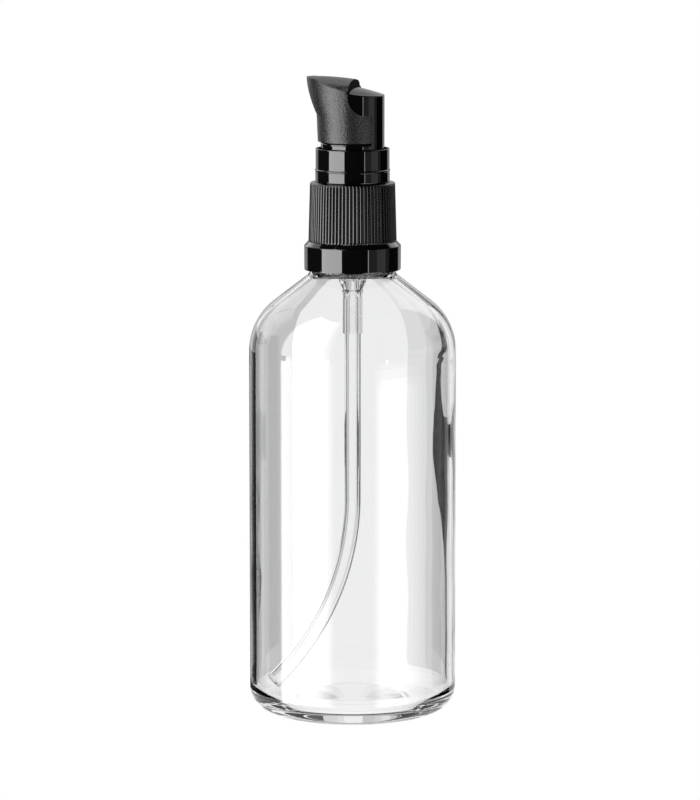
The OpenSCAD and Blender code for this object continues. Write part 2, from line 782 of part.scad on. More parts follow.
module actuator_shell() {
    color([0.12, 0.12, 0.12])
        difference() {
            union() {
                intersection() {
                    translate([-skirt_shift, 0, shell_z]) rotate([0, -skirt_lean, 0])
                        translate([0, 0, -1]) cylinder(r = skirt_r, h = skirt_h + 3);
                    translate([0, 0, shell_z]) cylinder(r = 2 * skirt_r, h = skirt_h);
                }
                beak();
            }
            translate([0, 0, shell_z - eps]) cylinder(r = recess_r + seat, h = skirt_h + 3 * eps);
            intersection() {
                translate([0, 0, crease_z]) cylinder(r = core_r + seat, h = beak_rise);
                crown(core_crown_x, core_crown_z + seat, core_long_r + seat, core_cross_r + seat);
            }
            notch();
            translate([0, 0, shell_z - 1]) wedge(seat, skirt_h + 2);
            outlet_bore(nose_r + seat, -2 * skirt_r, 0);
        }
}

// ---------- dip tube ----------

module tube_ring() {
    difference() {
        circle(r = tube_d / 2);
        circle(r = tube_bore_d / 2);
    }
}

module dip_tube() {
    color([0.9, 0.91, 0.91])
        rotate(bend_turn) {
            translate([0, 0, bend_z]) linear_extrude(tube_top - bend_z) tube_ring();
            translate([bend_r, 0, bend_z]) rotate([-90, 0, 0]) rotate([0, 0, 180])
                rotate_extrude(angle = -bend_angle) translate([bend_r, 0]) tube_ring();
        }
}

bottle();
tamper_band();
closure();
collar();
gasket();
pump_housing();
pump_cap();
ball_cage();
inlet_ball();
return_spring();
piston();
piston_rod();
stem();
outlet_ball();
actuator_core();
actuator_shell();
dip_tube();
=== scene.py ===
# %% [markdown] # A pump oil bottle, piece by piece The object is a clear glass bottle with a black
# finger pump. The solid model already says where every piece sits and how it moves. What it lacks is
# finish: glass that bends light, moulded plastic with soft corners, ribs with rounded backs, grain on
# the finger pad. This lesson dresses each piece in turn.

# %% Load the frame
import bpy
import math
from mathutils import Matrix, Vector


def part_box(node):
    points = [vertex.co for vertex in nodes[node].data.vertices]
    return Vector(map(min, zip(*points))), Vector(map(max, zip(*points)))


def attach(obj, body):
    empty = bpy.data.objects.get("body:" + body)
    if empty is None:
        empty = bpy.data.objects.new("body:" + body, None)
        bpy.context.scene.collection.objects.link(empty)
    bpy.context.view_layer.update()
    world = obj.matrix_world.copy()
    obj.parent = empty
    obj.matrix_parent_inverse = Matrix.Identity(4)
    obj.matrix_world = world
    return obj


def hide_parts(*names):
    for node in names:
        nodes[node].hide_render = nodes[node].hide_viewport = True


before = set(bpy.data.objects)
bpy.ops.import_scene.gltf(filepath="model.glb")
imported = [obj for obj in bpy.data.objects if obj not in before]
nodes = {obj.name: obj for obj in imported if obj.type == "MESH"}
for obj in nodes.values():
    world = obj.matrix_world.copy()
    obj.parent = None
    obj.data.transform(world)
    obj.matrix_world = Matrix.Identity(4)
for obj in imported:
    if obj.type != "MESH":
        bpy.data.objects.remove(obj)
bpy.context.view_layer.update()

# %% [markdown]
# ## Millimetres, rounded corners and turned pieces
# Nearly everything here was turned or moulded about one axis, so most pieces are a profile spun round Z.
# Primitives would give knife edges, and a real moulding never has one: its corners carry a small radius,
# and that radius is what catches the light. So a profile is a list of corners (radius from the axis,
# height, corner radius), each corner is swapped for a short arc, and the result is spun. A brace point a
# tenth of a millimetre from each arc keeps the straight stretches truly flat, which a mirror finish needs.

# %% Round the corners of a profile
BRACE = 0.1


def soften(corners, closed=True):
    """Corners (r, z, round) become points, with an arc where round is more than 0."""
    points, n = [], len(corners)
    for i, (x, z, rad) in enumerate(corners):
        here = Vector((x, z))
        if rad <= 0 or (not closed and i in (0, n - 1)):
            points.append((x, z))
            continue
        a = Vector(corners[i - 1][:2]) - here
        b = Vector(corners[(i + 1) % n][:2]) - here
        half = a.angle(b) / 2
        reach = min(rad / math.tan(half), 0.49 * a.length, 0.49 * b.length)
        rad = reach * math.tan(half)
        start, end = here + a.normalized() * reach, here + b.normalized() * reach
        centre = here + (a.normalized() + b.normalized()).normalized() * rad / math.sin(half)
        steps = 5 if rad > 0.4 else 4
        from_c, to_c = start - centre, end - centre
        turn = from_c.angle_signed(to_c)
        for k in range(steps + 1):
            c, s = math.cos(-turn * k / steps), math.sin(-turn * k / steps)
            points.append((centre.x + from_c.x * c - from_c.y * s, centre.y + from_c.x * s + from_c.y * c))
    braced = []
    for i, (x, z) in enumerate(points):
        nx, nz = points[(i + 1) % len(points)]
        span = math.hypot(nx - x, nz - z)
        braced.append((x, z))
        if span > 0.8 and (closed or i < len(points) - 1):
            for share in (BRACE / span, 1 - BRACE / span):
                braced.append((x + (nx - x) * share, z + (nz - z) * share))
    return braced


square = soften([(0, 0, 0.1), (1, 0, 0.1), (1, 1, 0.1), (0, 1, 0.1)])
print("a square with four round corners has", len(square), "points")

# %% [markdown]
# Every piece ends the same way: its points, in millimetres, become a mesh that rides on one body of the
# frame. Spinning is a loop over the profile and the angle, rather than a modifier, so that a piece can
# move its own wall in or out by angle: that is how the ribs and the castellations are made.

# %% Make and spin pieces
MM = 0.001


def mesh_piece(name, verts, faces, body, smooth=True):
    """A mesh in millimetres becomes a piece that rides on a body of the frame."""
    data = bpy.data.meshes.new(name)
    data.from_pydata([[c * MM for c in v] for v in verts], [], faces)
    data.validate()
    for p in data.polygons:
        p.use_smooth = smooth
    obj = bpy.data.objects.new(name, data)
    bpy.context.collection.objects.link(obj)
    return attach(obj, body)


def weigh(obj):
    """Shading follows the big faces, so flats stay flat between rounded corners."""
    mod = obj.modifiers.new("weigh", "WEIGHTED_NORMAL")
    mod.weight, mod.keep_sharp = 90, True
    return obj


def spin(name, profile, body, steps=192, radius_at=None, weighed=True):
    """Spins a closed profile of (r, z) points round Z; radius_at may move a point in or out by angle."""
    verts, faces, rings = [], [], []
    for r, z in profile:
        if r < 1e-6:
            rings.append([len(verts)] * steps)
            verts.append((0, 0, z))
            continue
        rings.append(list(range(len(verts), len(verts) + steps)))
        for k in range(steps):
            a = 2 * math.pi * k / steps
            rr = radius_at(r, z, a) if radius_at else r
            verts.append((rr * math.cos(a), rr * math.sin(a), z))
    for i in range(len(rings)):
        low, high = rings[i], rings[(i + 1) % len(rings)]
        if low[0] == low[1] and high[0] == high[1]:
            continue
        for k in range(steps):
            m = (k + 1) % steps
            f = [low[k], low[m], high[m], high[k]]
            faces.append([v for j, v in enumerate(f) if v not in f[:j]])
    obj = mesh_piece(name, verts, faces, body)
    return weigh(obj) if weighed else obj


print("helpers ready, in millimetres")

# %% [markdown]
# ## Shader maths as plain expressions
# A finish is a few lines of arithmetic on patterns. Written with nodes and links, that arithmetic gets
# lost, so a small class wraps a node socket and lets +, - and * build the Math nodes. Any other node
# comes from one method, which takes the node's type, its settings and what goes into its sockets: by the
# socket's name, or as in0, in1 and so on by its number.

# %% The socket class
class Wire:
    """A node socket that can be used in an expression."""

    def __init__(self, tree, socket):
        self.tree, self.socket = tree, socket

    def node(self, kind, settings=None, out=0, **sockets):
        """A new node of a kind, wired up; the result is its output number out."""
        made = self.tree.nodes.new(kind)
        for key, value in (settings or {}).items():
            setattr(made, key, value)
        for key, value in sockets.items():
            target = made.inputs[int(key[2:]) if key[2:].isdigit() else key.replace("_", " ")]
            if isinstance(value, Wire):
                self.tree.links.new(value.socket, target)
            else:
                target.default_value = value
        return Wire(self.tree, made.outputs[out])

    def math(self, operation, a, b):
        return self.node("ShaderNodeMath", {"operation": operation}, in0=a, in1=b)

    def __add__(self, other):
        return self.math("ADD", self, other)

    def __radd__(self, other):
        return self.math("ADD", other, self)

    def __sub__(self, other):
        return self.math("SUBTRACT", self, other)

    def __rsub__(self, other):
        return self.math("SUBTRACT", other, self)

    def __mul__(self, other):
        return self.math("MULTIPLY", self, other)

    def __rmul__(self, other):
        return self.math("MULTIPLY", other, self)

    def mix(self, low, high):
        """A colour between low and high, by this value."""
        return self.node("ShaderNodeMix", {"data_type": "RGBA"}, 2, in0=self, in6=(*low, 1), in7=(*high, 1))


print("the socket class knows + - * and mix")

# %% [markdown]
# A finish is one Principled shader with its constants set once, and with patterns fed into the few
# sockets that vary. The patterns are read from the piece's own coordinates, so they travel with it.

# %% The finish class
class Finish:
    """A material on one Principled shader, with its Object coordinates at hand as .place."""

    def __init__(self, name, slot, **constants):
        self.material, self.slot = bpy.data.materials.new(name), slot
        self.material.use_nodes = True
        self.tree = self.material.node_tree
        self.shader = self.tree.nodes["Principled BSDF"]
        start = self.tree.nodes.new("ShaderNodeTexCoord")
        self.place = Wire(self.tree, start.outputs["Object"])
        for key, value in constants.items():
            self.shader.inputs[key.replace("_", " ")].default_value = value

    def noise(self, scale, detail=2.0, stretch=(1, 1, 1), rough=0.5):
        """A cloud pattern from about 0 to 1; scale counts its lumps per metre."""
        mapped = self.place.node("ShaderNodeMapping", Vector=self.place, Scale=stretch)
        return mapped.node("ShaderNodeTexNoise", Vector=mapped, Scale=scale, Detail=detail, Roughness=rough)

    def feed(self, socket, wire):
        self.tree.links.new(wire.socket, self.shader.inputs[socket])

    def bump(self, height, depth_mm, strength):
        """Raises the surface by height, so many millimetres deep."""
        bumped = height.node("ShaderNodeBump", Height=height, Distance=depth_mm * MM, Strength=strength)
        self.feed("Normal", bumped)

    def on(self, obj):
        """Paints a piece with this finish."""
        obj.data.materials.clear()
        obj.data.materials.append(self.material)
        return obj


print("a finish offers", ", ".join(name for name in vars(Finish) if not name.startswith("_")))

# %% [markdown]
# ## The finishes
# Clear flint glass is bright and almost colourless, but it was blown in a mould, so its wall swims a
# little: a long, shallow bump bends the reflections as the real wall does. The black plastics differ only
# in their skin. The band, the collar and the core come from polished moulds, the closure from a duller
# one, and the finger shell from a spark-eroded mould that leaves a fine grain, which is what stops an
# oily thumb from slipping. The shell's narrow rear wall faces a mirror. Its black is rougher, darker and
# almost without reflection, which is painted shade for the shade that falls behind the pad.

# %% Glass and black plastics
glass = Finish("flint_glass", "clear_glass", Roughness=0.0, IOR=1.5, Transmission_Weight=1.0)
swim = glass.noise(26, 1.0, (1, 1, 0.35))
glass.feed("Base Color", swim.mix((0.985, 0.99, 0.988), (0.995, 0.998, 0.997)))
glass.bump(swim, 0.25, 0.25)

polish = Finish("polished_black", "black_gloss", Roughness=0.04, IOR=1.49)
flow = polish.noise(900, 2.0)
polish.feed("Base Color", flow.mix((0.0008, 0.0008, 0.0009), (0.0014, 0.0014, 0.0015)))
polish.feed("Roughness", 0.015 + flow * 0.012)
polish.bump(polish.noise(160, 1.0), 0.004, 0.5)

satin = Finish("satin_black", "black_closure", Roughness=0.2, IOR=1.46)
scuff = satin.noise(1500, 3.0, (1, 1, 0.15))
satin.feed("Base Color", scuff.mix((0.0006, 0.0006, 0.0006), (0.0016, 0.0016, 0.0016)))
satin.feed("Roughness", 0.07 + scuff * 0.03)
satin.bump(scuff, 0.003, 0.5)

grain = Finish("grained_black", "black_matte", Roughness=0.3, IOR=1.4)
pits = grain.noise(3200, 2.0, rough=0.6)
grain.feed("Base Color", pits.mix((0.004, 0.004, 0.004), (0.01, 0.01, 0.01)))
grain.feed("Roughness", 0.2 + pits * 0.16)
grain.bump(pits, 0.09, 1.0)

# Painted shade: the rear wall's black is darker than the grain and barely reflects, standing in for the shade
# behind the pad.
rear_wall_shade = Finish("rear_wall_painted_shade", "black_matte", Roughness=0.6, IOR=1.06)
rear_wall_shade.feed("Base Color", rear_wall_shade.noise(700).mix((0.0004, 0.0004, 0.0004), (0.0012, 0.0012, 0.0012)))
print("black finishes:", ", ".join(f.material.name for f in (polish, satin, grain, rear_wall_shade)))

# %% [markdown]
# The pump inside is unpigmented plastic, milky and slightly see-through, and the tube is clearer still.
# Its piston has softer lips, the gasket is foam, and the balls and the spring are steel.

# %% The pump's finishes
milky = Finish("natural_plastic", "natural_plastic", Roughness=0.02, IOR=1.3, Transmission_Weight=1.0)
cloud = milky.noise(500, 2.0)
milky.feed("Base Color", cloud.mix((0.975, 0.976, 0.977), (0.995, 0.995, 0.995)))
milky.bump(cloud, 0.02, 0.3)

hose = Finish("tube_plastic", "tube_plastic", Roughness=0.02, IOR=1.14, Transmission_Weight=1.0)
draw = hose.noise(700, 2.0, (1, 1, 0.04))
hose.feed("Base Color", draw.mix((0.985, 0.986, 0.987), (0.997, 0.997, 0.997)))
hose.bump(draw, 0.01, 0.3)

lips = Finish("soft_plastic", "soft_plastic", Roughness=0.45, IOR=1.5)
lips.feed("Base Color", lips.noise(800).mix((0.72, 0.72, 0.7), (0.82, 0.82, 0.8)))

foam = Finish("white_foam", "white_foam", Roughness=0.85)
cells = foam.noise(3500, 2.0)
foam.feed("Base Color", cells.mix((0.75, 0.75, 0.73), (0.86, 0.86, 0.84)))
foam.bump(cells, 0.05, 0.6)

steel = Finish("bright_steel", "steel", Roughness=0.16, Metallic=1.0)
drawn = steel.noise(2500, 2.0)
steel.feed("Base Color", drawn.mix((0.62, 0.63, 0.65), (0.75, 0.76, 0.78)))
steel.feed("Roughness", 0.12 + drawn * 0.1)
print("pump finishes:", ", ".join(f.material.name for f in (milky, hose, lips, foam, steel)))

# %% [markdown]
# ## The glass bottle
# Glass only looks like glass if the mesh is a true shell: light must enter the outer skin, cross the wall
# and leave by the inner skin. So the outside and the inside are drawn as one closed profile, from the
# hollow under the base, up the wall, over the lip and down inside to the raised floor. The neck carries
# the ring the tamper band rests on and the sloping bead that keeps it there.

# %% Draw the bottle's outside
BODY, WALL, MOUTH = 23.5, 1.5, 112.0
PUSH_R, PUSH_UP, STANDING, HEEL = 12.5, 2.3, 0.4, 5.6
SHOULDER, TURN = 14.4, math.radians(52.5)
NECK_R, HOLLOW, HOLLOW_Z, HOLLOW_END = 9.3, 3.2, 102.35, 199.2
RING_Z, RING_R, BORE = 101.3, 10.15, 5.3


def arc(cx, cz, radius, start, end, steps):
    """Points on an arc; angles in degrees from the outward direction, up is 90."""
    angles = [math.radians(start + (end - start) * k / steps) for k in range(steps + 1)]
    return [(cx + radius * math.cos(a), cz + radius * math.sin(a)) for a in angles]


def dome(half_width, rise, base, steps):
    """Half of a shallow dome, from its top in the middle out to its edge."""
    radius = (half_width ** 2 + rise ** 2) / (2 * rise)
    sides = [half_width * k / steps for k in range(steps + 1)]
    return [(r, base + rise - radius + math.sqrt(radius ** 2 - r ** 2)) for r in sides]


turn_in, turn_deg = 1 - math.cos(TURN), math.degrees(TURN)
slope = (BODY - SHOULDER * turn_in - NECK_R - HOLLOW * turn_in) / math.sin(TURN)
shoulder_z = HOLLOW_Z - (SHOULDER + HOLLOW) * math.sin(TURN) - slope * math.cos(TURN)
outside = dome(PUSH_R, PUSH_UP, 0, 10)[:-1] + arc(PUSH_R + STANDING, STANDING, STANDING, 225, 270, 3)
outside += arc(BODY - HEEL, HEEL, HEEL, 270, 360, 16)
outside += [(BODY, HEEL + (shoulder_z - HEEL) * k / 12) for k in range(1, 12)]
outside += arc(BODY - SHOULDER, shoulder_z, SHOULDER, 0, turn_deg, 22)
outside += arc(NECK_R + HOLLOW, HOLLOW_Z, HOLLOW, 180 + turn_deg, HOLLOW_END, 8)
# The first and last corners only steer the rounding beside them, and are dropped again.
finish = [(9.48, RING_Z, 0), (9.48, RING_Z, 0), (RING_R, RING_Z, 0.25), (RING_R, 102.0, 0.3),
          (8.4, 102.0, 0.4), (8.4, 104.4, 0.3), (9.5, 104.75, 0.3), (9.5, 105.45, 0.4),
          (8.0, 105.95, 0.4), (8.0, MOUTH, 0.6), (BORE, MOUTH, 0.6), (BORE, 108, 0)]
finish = soften(finish, closed=False)[1:-1]
print("outside:", len(outside) + len(finish), "points, shoulder starts", round(shoulder_z, 1), "mm up")

# %% [markdown]
# Inside, the wall keeps its thickness round the shoulder, and a generous bend leads up into the narrow
# bore. A blown wall is never quite even, so the inside of the body wanders a little on one side.

# %% Draw the inside and spin the bottle
INSIDE, BORE_BEND, FLOOR, INNER_HEEL = BODY - WALL, 8, 3.2, 3.4
SWIM, SWIM_FROM, SWIM_TO = 0.01, 10, 80
inner_r, floor_bend = SHOULDER - WALL, FLOOR + INNER_HEEL
inner_end, bore_end = BODY - SHOULDER + inner_r * math.cos(TURN), BORE + BORE_BEND * turn_in
inner_slope = (inner_end - bore_end) / math.sin(TURN)
bore_z = shoulder_z + (inner_r + BORE_BEND) * math.sin(TURN) + inner_slope * math.cos(TURN)
inside = arc(BORE + BORE_BEND, bore_z, BORE_BEND, 180, 180 + turn_deg, 12)
inside += arc(BODY - SHOULDER, shoulder_z, inner_r, turn_deg, 0, 22)
inside += [(INSIDE, shoulder_z + (floor_bend - shoulder_z) * k / 48) for k in range(1, 48)]
inside += arc(INSIDE - INNER_HEEL, floor_bend, INNER_HEEL, 0, -90, 10)
inside += dome(PUSH_R, PUSH_UP, FLOOR, 10)[::-1]


def swimming(r, z, a):
    """The inside of a blown wall wanders by up to two hundredths of a millimetre."""
    if abs(r - INSIDE) > 1e-6 or not SWIM_FROM < z < SWIM_TO:
        return r
    fade = min(1.0, (z - SWIM_FROM) / 8, (SWIM_TO - z) / 8)
    wave = math.sin(3 * a + 0.11 * z + 0.7) + 0.7 * math.sin(7 * a - 0.23 * z)
    wave += 0.4 * math.sin(11 * a + 0.41 * z + 2)
    return r + SWIM * fade * wave * (0.5 + 0.5 * math.cos(a - 0.2)) ** 2


bottle = spin("bottle_glass", outside + finish + inside, "bottle", 256, swimming, weighed=False)
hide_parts("bottle")
glass.on(bottle)
bottle.visible_shadow = False
print("wall", WALL, "mm, the bend into the bore ends", round(bore_z, 1), "mm up")

# %% [markdown]
# ## The screw thread
# Nearly one and a half turns of ridge run round the neck, and the closure carries one turn of its own
# inside, which draws it down. A helix can't be spun, so a ridge is swept: a small four-sided section
# walks round the neck, climbs three millimetres a turn, and sinks into the wall at both ends, as a
# moulded thread fades out.

# %% Sweep the threads
LEAD, NECK_CREST, CLOSURE_CREST = 3.0, 8.9, 8.2


def thread(name, body, root, crest, z0, turns, width, phase=0.0):
    """A ridge from the wall at radius root to its crest, which may lie outside or inside that wall."""
    steps, verts, faces = int(72 * turns), [], []
    out = 1 if crest > root else -1
    buried = root - 0.15 * out
    for k in range(steps + 1):
        a = 2 * math.pi * turns * k / steps + phase
        fade = min(1.0, 12 * min(k, steps - k) / steps)
        tip = root + (crest - root) * fade
        z = z0 + LEAD * turns * k / steps
        for r, dz in ((buried, -width / 2), (tip, -width / 6), (tip, width / 6), (buried, width / 2)):
            verts.append((r * math.cos(a), r * math.sin(a), z + dz))
    for k in range(steps):
        for j in range(4):
            m = (j + 1) % 4
            faces.append([4 * k + j, 4 * k + m, 4 * k + 4 + m, 4 * k + 4 + j][::out])
    faces += [[3, 2, 1, 0][::out], [4 * steps + j for j in range(4)][::out]]
    return mesh_piece(name, verts, faces, body, smooth=False)


glass.on(thread("neck_thread", "bottle", 8.0, NECK_CREST, z0=106.9, turns=1.4, width=1.3))
satin.on(thread("closure_thread", "closure", 9.05, CLOSURE_CREST, z0=108.6, turns=1.0, width=1.0,
                phase=math.pi * 0.1))
print("thread crest", 2 * NECK_CREST, "mm across, closure thread crest", 2 * CLOSURE_CREST)

# %% [markdown]
# ## The tamper band
# The polished ring under the closure stays on the bottle for good: an inner lip sits below the glass bead
# and can't climb over it. When the closure is first turned, thin bridges snap and leave nibs along the
# band's top edge, so the nibs are made too. Corner radii matter most here, because the band is a mirror.

# %% Spin the band
BAND_R, NIBS, NIB_FOOT = 10.95, 12, 107.8
band_profile = soften([(10.3, 101.35, 0.1), (BAND_R - 0.03, 101.35, 0.25), (BAND_R, 106.9, 0.2),
                       (10.05, 107.85, 0.12), (9.75, 107.85, 0.1), (9.75, 104.7, 0.1), (9.05, 104.0, 0.1),
                       (9.05, 103.1, 0.1), (9.75, 103.0, 0.1), (9.75, 102.05, 0.1), (10.3, 102.0, 0.1)])
band = polish.on(spin("tamper_ring", band_profile, "bottle", 256))
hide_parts("tamper_band")
nib_v, nib_f = [], []
for k in range(NIBS):
    a, b = math.tau * k / NIBS + math.radians(6), len(nib_v)
    for reach, near, far, z in ((0.03, 9.78, 10.0, NIB_FOOT), (0.02, 9.82, 9.96, NIB_FOOT + 0.1)):
        for da, r in ((-reach, near), (reach, near), (reach, far), (-reach, far)):
            nib_v.append((r * math.cos(a + da), r * math.sin(a + da), z))
    nib_f += [[b + 3, b + 2, b + 1, b], [b + 4, b + 5, b + 6, b + 7]]
    nib_f += [[b + j, b + (j + 1) % 4, b + 4 + (j + 1) % 4, b + 4 + j] for j in range(4)]
polish.on(mesh_piece("band_nibs", nib_v, nib_f, "bottle", smooth=False))
print("band", 2 * BAND_R, "mm across with", NIBS, "nibs")

# %% [markdown]
# ## The ribbed closure
# Seventy-two ribs give wet fingers a grip. They could be an array of small blocks, but then each foot
# would need blending. It is easier to bend the closure's own skin: the profile is spun with 16 points
# to a rib. Each back is a shallow arc, and a narrow valley parts it from the next one. The valleys fade
# out near the top rim, where the ribs run into a plain ring.

# %% Spin the closure
RIBS, RIB_DEPTH, CLOSURE_FOOT, RIBS_TOP = 72, 0.42, 107.95, 121.1


def ribbed(r, z, a):
    """The outer skin dips between ribs; everything inside stays round."""
    if r < 9.4 or z > RIBS_TOP + 0.05:
        return r
    p = abs(2 * (RIBS * a / math.tau % 1) - 1)
    drop = 0.5 * p * p + 0.5 * max(0.0, (p - 0.75) / 0.25)
    edge = min(1.0, max(0.0, (z - CLOSURE_FOOT) / 0.3)) * min(1.0, max(0.0, (RIBS_TOP - z) / 0.35))
    return r - RIB_DEPTH * drop * edge


skin = [(9.98, CLOSURE_FOOT, 0), (10.0, 108.1, 0), (9.99, 108.35, 0)]
skin += [(9.99 - 0.34 * k / 6, 108.35 + 12.2 * k / 6, 0) for k in range(1, 7)]
skin += [(9.63, 120.85, 0), (9.6, 121.0, 0), (9.5, 121.12, 0)]
crown_ring = [(8.45, 121.35, 0.12), (7.3, 121.35, 0.08), (7.3, 114.2, 0.1), (8.1, 114.2, 0.1),
              (8.1, 119.95, 0.3), (8.95, 119.95, 0.3), (8.95, 112.05, 0.05), (9.05, 112.05, 0.05),
              (9.05, CLOSURE_FOOT, 0.08)]
closure_profile = soften(skin + crown_ring)
closure = satin.on(spin("ribbed_closure", closure_profile, "closure", RIBS * 16, ribbed, weighed=False))
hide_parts("closure")
print("closure:", RIBS, "ribs,", round(math.tau * 10 / RIBS, 2), "mm from one to the next")

# %% [markdown]
# ## The collar
# A polished cup hides the pump's moving stem and guides the head. A fine bead runs round it about a third
# of the way up. The collar snaps over the pump's cap with a sleeve that reaches down into the closure.

# %% Spin the collar
COLLAR_R, BEAD_R, BEAD_Z = 8.35, 8.5, 124.0
collar_profile = soften([(6.65, 116.15, 0.05), (7.05, 116.15, 0.1), (7.2, 116.45, 0.1), (7.2, 121.4, 0.05),
                         (8.41, 121.4, 0.15), (8.41, 123.72, 0.08), (BEAD_R, 123.85, 0.06),
                         (BEAD_R, 124.08, 0.06), (COLLAR_R, 124.2, 0.08), (8.34, 128.9, 0.14),
                         (8.04, 128.9, 0.1), (8.04, 122.35, 0.2), (3.3, 122.35, 0.1), (3.3, 121.35, 0.1),
                         (6.65, 121.35, 0.05)])
collar = polish.on(spin("polished_collar", collar_profile, "pump", 256))
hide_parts("collar")
print("collar", 2 * COLLAR_R, "mm across, bead at", BEAD_Z)

# %% [markdown]
# ## The pump seen through the shoulder
# Only the bottom of the pump shows through the glass: a castellated valve section, a cone, a fine ring
# and the tail that grips the dip tube. All of it is milky plastic, so its edges matter more than its
# faces. The castellations are a square wave, cut into one stretch of the profile.

# %% Spin the housing
FLUTES, FLUTE_DEPTH, VALVE_R = 20, 0.28, 3.1


def fluted(r, z, a):
    """The valve section's outer skin steps in and out round the axis."""
    if r < VALVE_R - 0.2 or not 98.9 < z < 100.3:
        return r
    return r - FLUTE_DEPTH * (math.cos(FLUTES * a) < -0.15)


tail = [(1.88, 86.9, 0.05), (2.15, 86.9, 0.05), (2.25, 87.2, 0.1), (2.25, 95.5, 0.05), (2.4, 95.65, 0.05),
        (2.4, 95.95, 0.05), (2.25, 96.05, 0.05), (2.25, 96.5, 0.2)]
valve = [(VALVE_R - 0.02, 98.1, 0.15), (VALVE_R, 98.85, 0), (VALVE_R, 98.95, 0), (VALVE_R, 100.25, 0),
         (VALVE_R, 100.35, 0), (VALVE_R, 101.65, 0.1)]
barrel = [(4.35, 101.65, 0.1), (4.6, 101.95, 0.1), (4.6, 112.95, 0.1), (8.0, 112.95, 0.1),
          (8.0, 114.15, 0.15), (5.75, 114.15, 0), (5.75, 116.5, 0.1), (4.6, 116.5, 0.1),
          (4.6, 119.9, 0.1)]
hollow = [(3.6, 119.9, 0.1), (3.6, 102.25, 0.1), (1.95, 102.25, 0.05), (1.95, 98.7, 0.05), (1.2, 98.65, 0.05),
          (1.2, 96.25, 0.05), (1.88, 96.25, 0.02)]
housing_profile = soften(tail + valve + barrel + hollow)
housing = milky.on(spin("pump_barrel", housing_profile, "pump", 320, fluted, weighed=False))
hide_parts("pump_housing")
for name, paint in (("pump_cap", milky), ("ball_cage", milky), ("gasket", foam), ("piston", lips),
                    ("piston_rod", milky), ("stem", milky), ("inlet_ball", steel), ("outlet_ball", steel)):
    paint.on(nodes[name])
    for poly in nodes[name].data.polygons:
        poly.use_smooth = False
print("housing spun; plain nodes painted in place")

# %% [markdown]
# ## The return spring
# Drawn wire coiled in a barrel. A curve with a bevel would do, but a swept mesh keeps the closed, flattened
# end coils under control: the coil's rise is slow at both ends and even in between.

# %% Coil the spring
COIL_TURNS, CLOSED, WIRE_R, COIL_STEPS, WIRE_STEPS = 5.5, 0.75, 0.25, 220, 10
lo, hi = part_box("return_spring")
coil_z0, coil_h, coil_r = lo.z / MM, (hi.z - lo.z) / MM, (hi.x - lo.x) / MM / 2 - WIRE_R


def coil_height(t):
    """Height of the wire's middle above the spring's foot, at share t of its turns."""
    f = CLOSED / COIL_TURNS
    middle = max(0.0, min(1.0, (t - f) / (1 - 2 * f)))
    ends = min(1.0, t / f) + max(0.0, (t - 1 + f) / f)
    return WIRE_R + 0.35 * ends + (coil_h - 2 * WIRE_R - 0.7) * middle


coil_v, coil_f = [], []
for i in range(COIL_STEPS + 1):
    a, z = math.tau * COIL_TURNS * i / COIL_STEPS, coil_z0 + coil_height(i / COIL_STEPS)
    for j in range(WIRE_STEPS):
        b = math.tau * j / WIRE_STEPS
        r = coil_r + WIRE_R * math.cos(b)
        coil_v.append((r * math.cos(a), r * math.sin(a), z + WIRE_R * math.sin(b)))
for i in range(COIL_STEPS):
    here, ahead = WIRE_STEPS * i, WIRE_STEPS * (i + 1)
    for j in range(WIRE_STEPS):
        m = (j + 1) % WIRE_STEPS
        coil_f.append((here + j, here + m, ahead + m, ahead + j))
last = WIRE_STEPS * COIL_STEPS
coil_f += [tuple(range(WIRE_STEPS - 1, -1, -1)), tuple(range(last, last + WIRE_STEPS))]
coil = steel.on(mesh_piece("spring_coil", coil_v, coil_f, "pump"))
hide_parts("return_spring")
print("spring", round(coil_h, 1), "mm tall, wire", 2 * WIRE_R)

# %% [markdown]
# ## The dip tube
# The tube leaves the housing straight, then keeps the bend it took on the reel, so its end finds the
# corner of the bottle. It is a hose with a real bore, because the bore is what draws its two bright lines.
# The path is a straight run and one long arc, and the section is carried along it square to the path.

# %% Sweep the dip tube
HOSE_R, HOSE_BORE, HOSE_STEPS = 1.86, 1.3, 40
BEND_R, BEND, BEND_Z, BEND_TO, TUBE_TOP = 60.0, math.radians(45.7), 49.4, math.radians(190), 96.2
path = [(0.0, TUBE_TOP - (TUBE_TOP - BEND_Z) * k / 20, 0.0) for k in range(20)]
for a in (BEND * k / 40 for k in range(41)):
    path.append((BEND_R * (1 - math.cos(a)), BEND_Z - BEND_R * math.sin(a), a))


def hose_ring(side, z, lean, radius):
    """A ring round the path's point: side away from the axis, z up, leaning with the path."""
    ring = []
    for j in range(HOSE_STEPS):
        b = math.tau * j / HOSE_STEPS
        u, v = radius * math.cos(b), radius * math.sin(b)
        along = side + u * math.cos(lean)
        ring.append((along * math.cos(BEND_TO) - v * math.sin(BEND_TO),
                     along * math.sin(BEND_TO) + v * math.cos(BEND_TO), z + u * math.sin(lean)))
    return ring


rings = [hose_ring(*p, HOSE_R) for p in path] + [hose_ring(*p, HOSE_BORE) for p in reversed(path)]
tube_v, tube_f = [v for ring in rings for v in ring], []
for i in range(len(rings)):
    here, ahead = i * HOSE_STEPS, (i + 1) % len(rings) * HOSE_STEPS
    for j in range(HOSE_STEPS):
        m = (j + 1) % HOSE_STEPS
        tube_f.append([here + j, ahead + j, ahead + m, here + m])
tube = hose.on(mesh_piece("dip_hose", tube_v, tube_f, "pump"))
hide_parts("dip_tube")
tube.visible_shadow = False
print("dip tube ends", round(path[-1][0], 1), "mm off the axis,", round(path[-1][1], 1), "mm above the table")

# %% [markdown]
# ## The head's core
# The core is the polished part the thumb doesn't touch: a cup that slides into the collar, a socket for
# the stem, and a sloping top that shows behind the finger pad. Its front is set back for the shell, and a
# key at the back fills the shell's slot. Built column by column round the axis, each column takes its
# own height from the crown, so the rounded top edge follows the slope.

